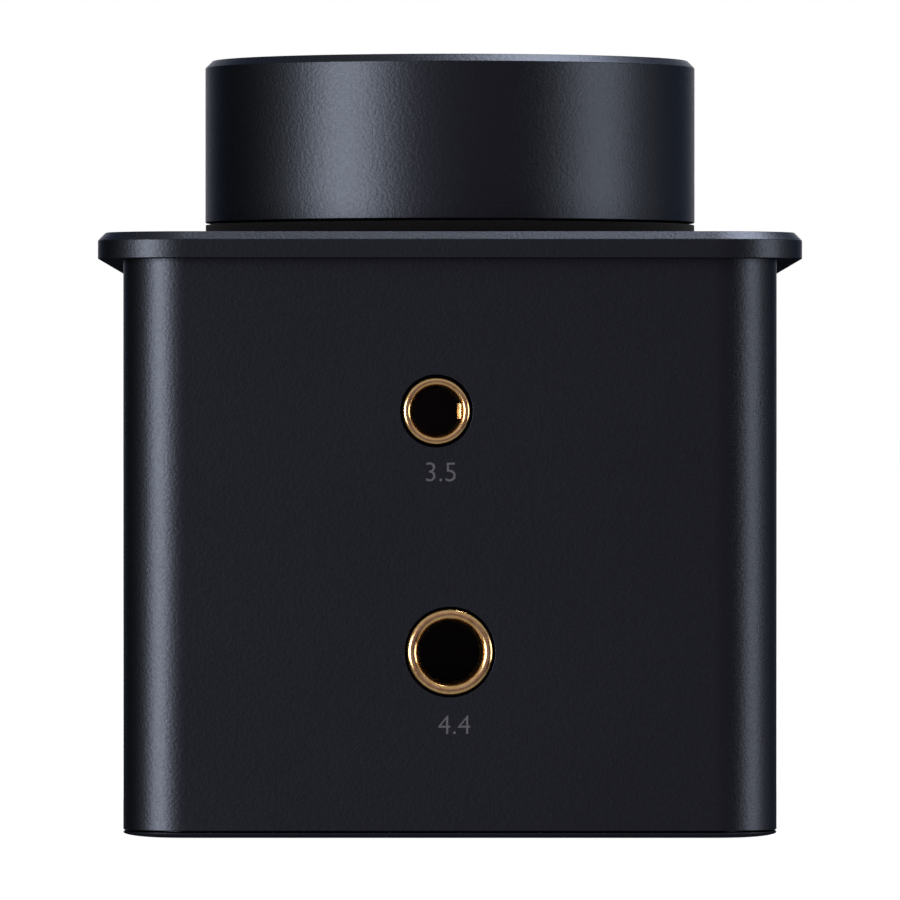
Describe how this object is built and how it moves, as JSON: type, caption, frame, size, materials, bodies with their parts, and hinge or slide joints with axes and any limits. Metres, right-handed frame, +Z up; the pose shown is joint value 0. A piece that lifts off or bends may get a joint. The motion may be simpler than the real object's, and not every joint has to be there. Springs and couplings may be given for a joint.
{
  "type": "digital audio player",
  "caption": "Desk-style digital audio player: milled aluminium block with a large turned volume knob on top, headphone jacks in its end, a touch display and side buttons.",
  "frame": {"origin": "on the plane it rests on, under the middle of the player", "axes": "+Z up; the headphone jacks face -Y, the knob and display face +Z, +X is the button side"},
  "size_m": [0.0486, 0.108, 0.0542],
  "materials": {
    "anodised": "fine bead-blasted, blue-black anodised",
    "anodised_cover": "fine bead-blasted, blue-black anodised",
    "anodised_knob": "fine bead-blasted, blue-black anodised",
    "anodised_button": "fine bead-blasted, blue-black anodised",
    "plastic": "matt black",
    "jack_plastic": "matt black",
    "gilt": "gold plated",
    "brass": "turned",
    "steel": "plain",
    "cover_glass": "polished, dark",
    "display": "switched off",
    "rubber": "matt",
    "circuit_board": "solder mask",
    "chip_resin": "matt",
    "capacitor_can": "plain",
    "battery_film": "foil pouch"
  },
  "bodies": {
    "housing": {"antenna_window": "plastic", "audio_board": "circuit_board", "back_switch": "steel", "balanced_jack_body": "jack_plastic", "balanced_jack_contact": "gilt", "balanced_jack_ring": "gilt", "battery_pack": "battery_film", "battery_pad": "rubber", "board_screw_front_left": "steel", "board_screw_front_right": "steel", "board_screw_rear_left": "steel", "board_screw_rear_right": "steel", "bottom_cover": "anodised_cover", "button_board": "circuit_board", "card_socket": "steel", "case": "anodised", "clamp_bolt_front_left": "steel", "clamp_bolt_front_right": "steel", "clamp_bolt_rear_left": "steel", "clamp_bolt_rear_right": "steel", "dac_chip_left": "chip_resin", "dac_chip_right": "chip_resin", "display_gasket": "rubber", "display_glass": "cover_glass", "display_panel": "display", "encoder_board": "circuit_board", "encoder_body": "plastic", "encoder_bushing": "brass", "encoder_nut": "steel", "encoder_washer": "steel", "foot_pad_front": "rubber", "foot_pad_rear": "rubber", "knob_base_ring": "plastic", "main_board": "circuit_board", "next_switch": "steel", "output_capacitor_1": "capacitor_can", "output_capacitor_2": "capacitor_can", "output_capacitor_3": "capacitor_can", "output_capacitor_4": "capacitor_can", "phones_jack_body": "jack_plastic", "phones_jack_contact": "gilt", "phones_jack_ring": "gilt", "play_switch": "steel", "power_switch": "steel", "processor_chip": "chip_resin", "processor_shield": "steel", "top_plate": "anodised", "usb_shell": "steel", "usb_tongue": "plastic"},
    "knob": {"knob_shell": "anodised_knob", "knob_hub": "brass", "knob_set_screw": "steel", "encoder_shaft": "steel"},
    "card_tray": {"card_tray": "anodised"},
    "power_button": {"power_button": "anodised_button"},
    "back_button": {"back_button": "anodised_button"},
    "play_button": {"play_button": "anodised_button"},
    "next_button": {"next_button": "anodised_button"}
  },
  "joints": [
    {"name": "volume_turn", "type": "hinge", "parent": "housing", "child": "knob", "pos_m": [0, -0.02985, 0.048], "axis": [0, 0, 1], "continuous": true},
    {"name": "power_press", "type": "slide", "parent": "housing", "child": "power_button", "axis": [-1, 0, 0], "range_m": [0, 0.00035], "stiffness_N_per_m": 600},
    {"name": "back_press", "type": "slide", "parent": "housing", "child": "back_button", "axis": [-1, 0, 0], "range_m": [0, 0.00035], "stiffness_N_per_m": 600},
    {"name": "play_press", "type": "slide", "parent": "housing", "child": "play_button", "axis": [-1, 0, 0], "range_m": [0, 0.00035], "stiffness_N_per_m": 600},
    {"name": "next_press", "type": "slide", "parent": "housing", "child": "next_button", "axis": [-1, 0, 0], "range_m": [0, 0.00035], "stiffness_N_per_m": 600},
    {"name": "tray_slide", "type": "slide", "parent": "housing", "child": "card_tray", "axis": [0, 1, 0], "range_m": [0, 0.017]}
  ]
}
